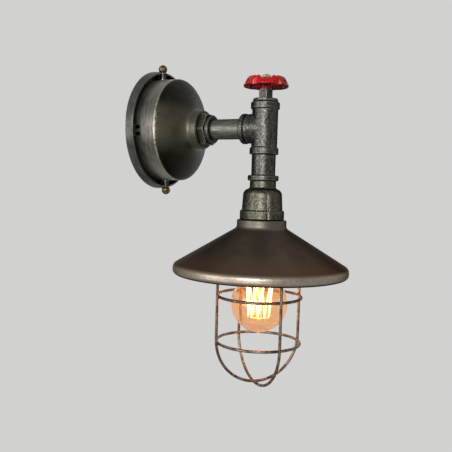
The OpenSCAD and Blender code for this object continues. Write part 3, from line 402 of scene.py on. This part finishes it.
def cast_iron(name, dark, pale, gleam, shine=0.3):
    """A rough casting, dry-brushed with silver: painted black shade in the creases, mottled
    ground, bright edges.
    """
    g = Graph(name)
    rubbed, crease_shade = srgb(164, 162, 154), srgb(5, 5, 4)
    ground = g.mix(g.remap(g.noise(2.6, 5, 0.65), 0.32, 0.66), dark, pale)
    patchy = g.remap(g.noise(6), 0.36, 0.6, 0.25, 1.0)
    colour = g.mix(g.both(g.specks(0.9, shine, 0.1), patchy), ground, gleam)
    high = g.both(g.edges(2.2, 9), g.remap(g.noise(1.4, 3), 0.36, 0.56, 0.25, 1.0))
    colour = g.mix(g.both(high, 0.85), colour, rubbed)
    # Painted shade: black in the creases
    colour = g.mix(g.open_sky(2.6, 0.55, 0.88), crease_shade, colour)
    rough = g.spread(g.noise(2.2), 0.3, 0.42)
    grain = g.bump(g.noise(0.7, 2), 0.07)
    lumps = g.bump(g.noise(1.3, 4, 0.65), 0.14, grain)
    return g.finish(colour, rough, 0.94, lumps, **GRAZING)


def drawn_steel(name, dark, pale, rough=0.36, along=(1, 9, 1), edge=0.6):
    """Drawn or turned steel with faint streaks along the piece, bright worn edges and painted
    shade in its crevices.
    """
    g = Graph(name)
    rubbed, crease_shade = srgb(200, 198, 190), srgb(6, 6, 5)
    streak = g.noise(1.1, 4, 0.6, stretch=along)
    colour = g.mix(g.remap(streak, 0.32, 0.7), dark, pale)
    colour = g.mix(g.both(g.edges(edge, 9), 0.85), colour, rubbed)
    # Painted shade in the crevices
    colour = g.mix(g.open_sky(2.0, 0.45, 0.8), crease_shade, colour)
    sheen = g.spread(streak, rough + 0.08, rough - 0.04)
    return g.finish(colour, sheen, 0.9, g.bump(streak, 0.02), **GRAZING)


def black_washer():
    """The dark washer at the cover's neck, with a bright edge that is partly rubbed and partly a
    painted highlight.
    """
    g = Graph("black_washer")
    colour = g.mix(g.noise(2), srgb(14, 14, 14), srgb(28, 28, 27))
    # Bright edge: partly rubbed, partly a painted highlight
    colour = g.mix(g.both(g.edges(0.3, 3), 0.6), colour, srgb(150, 148, 142))
    return g.finish(colour, 0.5, 0.4, g.bump(g.noise(0.8), 0.03))


def old_brass():
    """Aged brass: golden where it is rubbed, brown in the film over it."""
    g = Graph("old_brass")
    film_brown, golden, pit = srgb(58, 45, 28), srgb(132, 108, 70), srgb(38, 28, 18)
    film = g.noise(2.6, 5, 0.6)
    colour = g.mix(g.remap(film, 0.4, 0.68), film_brown, golden)
    colour = g.mix(g.specks(0.8, 0.2), colour, pit)
    rough = g.spread(film, 0.42, 0.28)
    return g.finish(colour, rough, 0.75, g.bump(g.noise(0.7), 0.02))


def red_paint():
    """Gloss red enamel with painted shade in its hollows and underneath, and one chip on the rim.
    """
    g = Graph("red_paint")
    deep, bright, primer = srgb(140, 2, 4), srgb(186, 8, 8), srgb(190, 172, 146)
    hollow_shade, below = srgb(30, 0, 1), srgb(58, 1, 2)
    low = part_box("handwheel")[0].z / MM
    chip_place = (10.2, lamp_axis_y / MM - 20.2, low + 4.6)
    chip_reach, chip_fade = 1.5, 1.0
    chip = g.both(g.spot(chip_place, chip_reach, chip_fade), g.remap(g.noise(1.2), 0.35, 0.5))
    colour = g.mix(g.spread(g.noise(7, 3)), deep, bright)
    colour = g.mix(chip, colour, primer)
    # Painted shade in the hollows
    colour = g.mix(g.open_sky(4, 0.3, 0.85), hollow_shade, colour)
    # Painted shade on the faces that look down, which are also rougher
    under = g.underside()
    colour = g.mix(under, colour, below)
    rough = g.mix_value(under, g.spread(g.noise(3), 0.14, 0.22), 0.85)
    return g.finish(colour, rough, 0.0, g.bump(g.noise(5, 2), 0.06),
                    **{"Specular IOR Level": 0.24})


def guard_bronze():
    """Guard wire: dark bronze, rubbed to copper in places."""
    g = Graph("guard_bronze")
    dark, copper, pit = srgb(72, 61, 52), srgb(128, 112, 98), srgb(36, 29, 24)
    rub = g.noise(6, 5, 0.6)
    colour = g.mix(g.remap(rub, 0.38, 0.64), dark, copper)
    colour = g.mix(g.both(g.specks(1.0, 0.12), 0.5), colour, pit)
    return g.finish(colour, g.spread(rub, 0.42, 0.3), 0.85, g.bump(g.noise(0.9), 0.03))


def moulded(name, low, high, rough):
    """Moulded or glazed material with a faint mottle."""
    g = Graph(name)
    colour = g.mix(g.spread(g.noise(3)), low, high)
    sheen = g.spread(g.noise(1.5), rough - 0.05, rough + 0.06)
    return g.finish(colour, sheen, 0.0, g.bump(g.noise(0.7), 0.02))


def lamp_glass(name, tint, rim, shadow, glow):
    """Clear glass, deeper along its rim, that lets the filament's light out and carries a faint
    painted glow of it.
    """
    g = Graph(name)
    slant = g.add("ShaderNodeLayerWeight", {"Blend": 0.35}).outputs["Facing"]
    slant = g.calc("ADD", slant, g.spread(g.noise(18, 2), -0.04, 0.04))
    # Painted glow: the glass's own emission stands in for the filament's light caught in it
    glass = g.add("ShaderNodeBsdfPrincipled", {
        "Base Color": g.mix(g.remap(slant, 0.3, 0.95), tint, rim),
        "Roughness": g.spread(g.noise(9), 0.0, 0.03), "Transmission Weight": 1.0, "IOR": 1.47,
        "Emission Color": (1.0, 0.4, 0.12, 1.0), "Emission Strength": glow,
    })
    clear = g.add("ShaderNodeBsdfTransparent", {"Color": shadow})
    shadow_ray = g.add("ShaderNodeLightPath").outputs["Is Shadow Ray"]
    return g.show(g.mix_shaders(shadow_ray, glass, clear))


def glowing_filament():
    """The filament, hottest in its upper half."""
    g = Graph("glowing_filament")
    warm, hot = (1.0, 0.6, 0.22, 1.0), (1.0, 0.8, 0.46, 1.0)
    low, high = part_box("filament")
    heat = g.remap(g.axis("Z"), low.z, (low.z + high.z) / 2)
    shader = g.add("ShaderNodeBsdfPrincipled", {
        "Base Color": srgb(255, 214, 140), "Roughness": 0.5,
        "Emission Color": g.mix(heat, warm, hot),
        "Emission Strength": g.spread(g.noise(3), 6.0, 9.0),
    })
    return g.show(shader)


def dress(material, *names):
    """Gives whole nodes one material."""
    for name in names:
        mesh = nodes[name].data
        mesh.materials.clear()
        mesh.materials.append(material)


def body_of(name):
    """The moving body that a node belongs to."""
    for body, members in frame["record"]["behaviour"]["bodies"].items():
        if name in members:
            return body


def roughen(mesh, depth):
    """Sinks a casting's skin in soft hollows, up to the given depth in mm."""
    normals = [vertex.normal.copy() for vertex in mesh.vertices]
    for vertex, normal in zip(mesh.vertices, normals):
        wave = noise.noise(vertex.co / WIDE_HOLLOW) + 0.5 * noise.noise(vertex.co / NARROW_HOLLOW)
        sunk = 0.5 + wave / 3
        vertex.co -= normal * sunk * depth * MM


def cast_piece(name, material, voxel=0.4, smoothing=5, depth=0.16):
    """Replaces a node by a casting of the same shape with rounded edges and a rough skin."""
    piece = link(bpy.data.objects.new(name + "_cast", nodes[name].data.copy()))
    remesh = piece.modifiers.new("remesh", "REMESH")
    remesh.mode = "VOXEL"
    remesh.voxel_size = voxel * MM
    smooth = piece.modifiers.new("smooth", "SMOOTH")
    smooth.factor = 0.5
    smooth.iterations = smoothing
    seen = piece.evaluated_get(bpy.context.evaluated_depsgraph_get())
    mesh = bpy.data.meshes.new_from_object(seen)
    piece.modifiers.clear()
    piece.data = mesh
    roughen(mesh, depth)
    mesh.polygons.foreach_set("use_smooth", [True] * len(mesh.polygons))
    mesh.materials.clear()
    mesh.materials.append(material)
    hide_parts(name)
    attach(piece, body_of(name))


def dress_castings():
    """The pipe fittings and the handwheel, each with a rounded and roughened copy in its place."""
    fitting = cast_iron("fitting_iron", srgb(42, 40, 37), srgb(76, 75, 70), srgb(138, 137, 131))
    reducer = cast_iron("reducer_iron", srgb(44, 42, 35), srgb(86, 83, 72), srgb(146, 142, 129),
                        shine=0.22)
    paint = red_paint()
    cast_piece("tee", fitting)
    cast_piece("top_plug", fitting)
    cast_piece("extension_socket", fitting)
    cast_piece("reducer", reducer)
    cast_piece("handwheel", paint, voxel=0.35, smoothing=6, depth=0.03)
    dress(fitting, "tee", "top_plug", "extension_socket")
    dress(reducer, "reducer", "reducer_plug")
    dress(paint, "handwheel")


def dress_metals():
    """The plate, the cover, the shade, the guard and the nuts, pipes and screws."""
    even = (1, 1, 1)
    dress(plate_steel(), "back_plate", "stud_brackets")
    dress(canopy_metal(), "canopy_cover")
    dress(shade_metal(), "shade")
    dress(drawn_steel("nut_steel", srgb(58, 57, 48), srgb(88, 86, 74), 0.42, edge=1.0),
          "arm_nut", "inner_locknut")
    dress(drawn_steel("pipe_steel", srgb(76, 75, 70), srgb(112, 110, 103), 0.38), "arm_pipe")
    dress(drawn_steel("collar_steel", srgb(50, 49, 45), srgb(82, 80, 75), 0.38), "arm_collar")
    dress(drawn_steel("bright_steel", srgb(50, 47, 46), srgb(74, 70, 68), 0.34, (1, 1, 6)),
          "canopy_studs", "gland_nut", "stem", "stem_clip", "terminal_screws")
    dress(black_washer(), "neck_washer")
    dress(old_brass(), "ball_nuts", "earth_screw", "nipple", "nipple_nut", "holder_shell",
          "holder_contact")
    dress(drawn_steel("nut_nickel", srgb(150, 138, 112), srgb(186, 174, 146), 0.3, even),
          "wheel_nut")
    dress(guard_bronze(), "guard_collar", "guard_hoop_front", "guard_hoop_side",
          "guard_ring_upper", "guard_ring_lower")
    dress(drawn_steel("cap_metal", srgb(150, 148, 142), srgb(190, 188, 182), 0.34, even),
          "bulb_cap", "bulb_contact")
    dress(drawn_steel("hook_wire", srgb(96, 94, 92), srgb(140, 138, 134), 0.4, even),
          "filament_hooks")


def dress_mouldings():
    """The lampholder, the insulators and the wires' sleeves."""
    dress(moulded("black_phenolic", srgb(16, 15, 15), srgb(30, 29, 28), 0.38),
          "holder_cap", "holder_body", "holder_ring")
    dress(moulded("porcelain", srgb(214, 210, 196), srgb(228, 225, 214), 0.22),
          "terminal_block", "holder_insulator")
    dress(moulded("black_glass", srgb(10, 10, 14), srgb(20, 20, 26), 0.12), "bulb_insulator")
    dress(moulded("brown_sleeve", srgb(84, 44, 22), srgb(104, 58, 32), 0.4), "live_wire")
    dress(moulded("blue_sleeve", srgb(24, 62, 140), srgb(36, 78, 160), 0.4), "neutral_wire")
    dress(moulded("green_sleeve", srgb(64, 120, 34), srgb(86, 146, 48), 0.4), "earth_wire")


def dress_bulb():
    """The bulb's amber globe, its clear mount and the filament."""
    # Painted glow on both glasses: faint on the globe, stronger on the mount
    dress(lamp_glass("amber_glass", tint=(0.94, 0.72, 0.52, 1.0), rim=(0.9, 0.46, 0.2, 1.0),
                     shadow=(1.0, 0.84, 0.62, 1.0), glow=0.06), "bulb_glass")
    dress(lamp_glass("mount_glass", tint=(0.96, 0.95, 0.92, 1.0), rim=(0.92, 0.9, 0.84, 1.0),
                     shadow=(0.97, 0.96, 0.93, 1.0), glow=0.6), "bulb_mount")
    dress(glowing_filament(), "filament")


def make_lamps():
    """Soft square lamps round the object's middle."""
    right, up, back = view_axes()
    middle = (cad_box[0] + cad_box[1]) / 2
    for name, (rightward, upward, backward), distance, size, power in LAMPS:
        direction = (right * rightward + up * upward + back * backward).normalized()
        lamp = bpy.data.lights.new(name, "AREA")
        lamp.size = size
        lamp.energy = power
        item = link(bpy.data.objects.new(name, lamp))
        item.location = middle + direction * distance
        item.rotation_euler = direction.to_track_quat("Z", "Y").to_euler()


def make_filament_glow():
    """The filament's light on the guard and the shade, not seen itself through the glass."""
    low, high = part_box("filament")
    glow = bpy.data.lights.new("filament_glow", "POINT")
    glow.energy = GLOW_POWER
    glow.color = GLOW_COLOUR
    glow.shadow_soft_size = GLOW_RADIUS
    item = link(bpy.data.objects.new("filament_glow", glow))
    item.location = (low + high) / 2
    item.visible_transmission = False


def seen_directly(graph):
    """1 for rays from the camera, from gloss and through glass, 0 for the rest."""
    path = graph.add("ShaderNodeLightPath")
    either = graph.calc("MAXIMUM", path.outputs["Is Camera Ray"], path.outputs["Is Glossy Ray"])
    return graph.calc("MAXIMUM", either, path.outputs["Is Transmission Ray"])


def make_world():
    """Pale surroundings that look brighter than they light."""
    g = Graph("studio", world=True)
    soft = g.add("ShaderNodeBackground", {"Color": PALE, "Strength": SOFT_LIGHT})
    seen = g.add("ShaderNodeBackground", {"Color": PALE, "Strength": SEEN_LIGHT})
    bpy.context.scene.world = g.show(g.mix_shaders(seen_directly(g), soft, seen))


def make_floor():
    """A pale floor that fades into the surroundings' colour away from the object."""
    side = FLOOR_HALF_SIDE
    mesh = bpy.data.meshes.new("floor")
    corners = [(-side, -side, 0), (side, -side, 0), (side, side, 0), (-side, side, 0)]
    mesh.from_pydata(corners, [], [(0, 1, 2, 3)])
    floor = link(bpy.data.objects.new("floor", mesh))
    floor.location = (0, lamp_axis_y, FLOOR_Z)
    g = Graph("floor_paint")
    paint = g.mix(g.noise(FLOOR_CLOUD), FLOOR_PAINT, PALE)
    plain = g.add("ShaderNodeBsdfDiffuse", {"Color": paint})
    glow = g.add("ShaderNodeEmission", {"Color": PALE, "Strength": SEEN_LIGHT})
    away = g.add("ShaderNodeVectorMath", {0: g.place}, operation="LENGTH").outputs["Value"]
    fade = g.remap(away, FADE_FROM, FADE_TO, FADE_SHARE, 1.0)
    share = g.both(fade, seen_directly(g))
    mesh.materials.append(g.show(g.mix_shaders(share, plain, glow)))


make_camera()
dress_castings()
dress_metals()
dress_mouldings()
dress_bulb()
make_lamps()
make_filament_glow()
make_world()
make_floor()
bpy.context.scene.view_settings.view_transform = "Standard"
